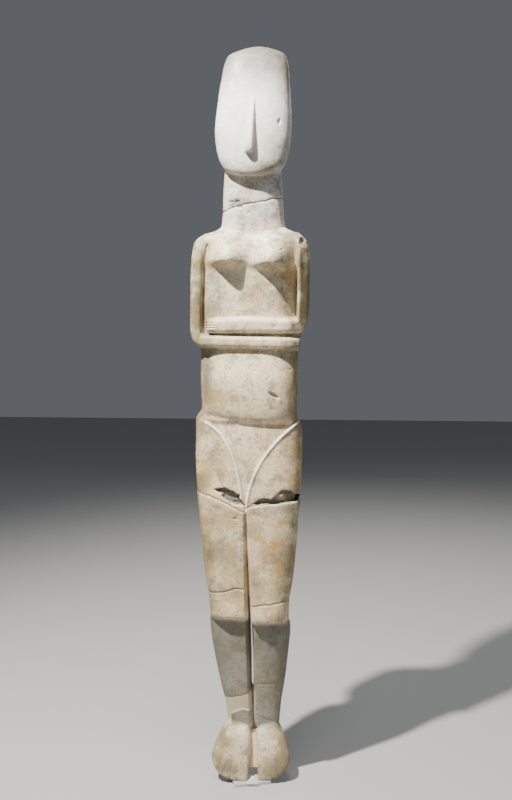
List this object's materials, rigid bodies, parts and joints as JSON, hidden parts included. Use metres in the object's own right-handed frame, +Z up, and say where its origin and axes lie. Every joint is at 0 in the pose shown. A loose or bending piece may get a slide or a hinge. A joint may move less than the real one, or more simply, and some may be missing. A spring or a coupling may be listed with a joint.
{
  "type": "cycladic figurine",
  "caption": "Tall carved marble figure of a standing woman with folded arms, on a clear foot plate and peg.",
  "frame": {"origin": "on the underside of the clear foot plate, below the middle of the feet", "axes": "+Z up along the figure, -Y the way the face looks, +X towards the figure's own left"},
  "size_m": [0.2446, 0.1313, 1.5263],
  "materials": {
    "marble": "smoothed marble, weathered, with a cream and ochre patina, mended breaks and small losses",
    "clear_acrylic": "clear, polished"
  },
  "bodies": {
    "root": {"figurine": "marble", "foot_plate": "clear_acrylic", "foot_peg": "clear_acrylic"}
  },
  "joints": []
}
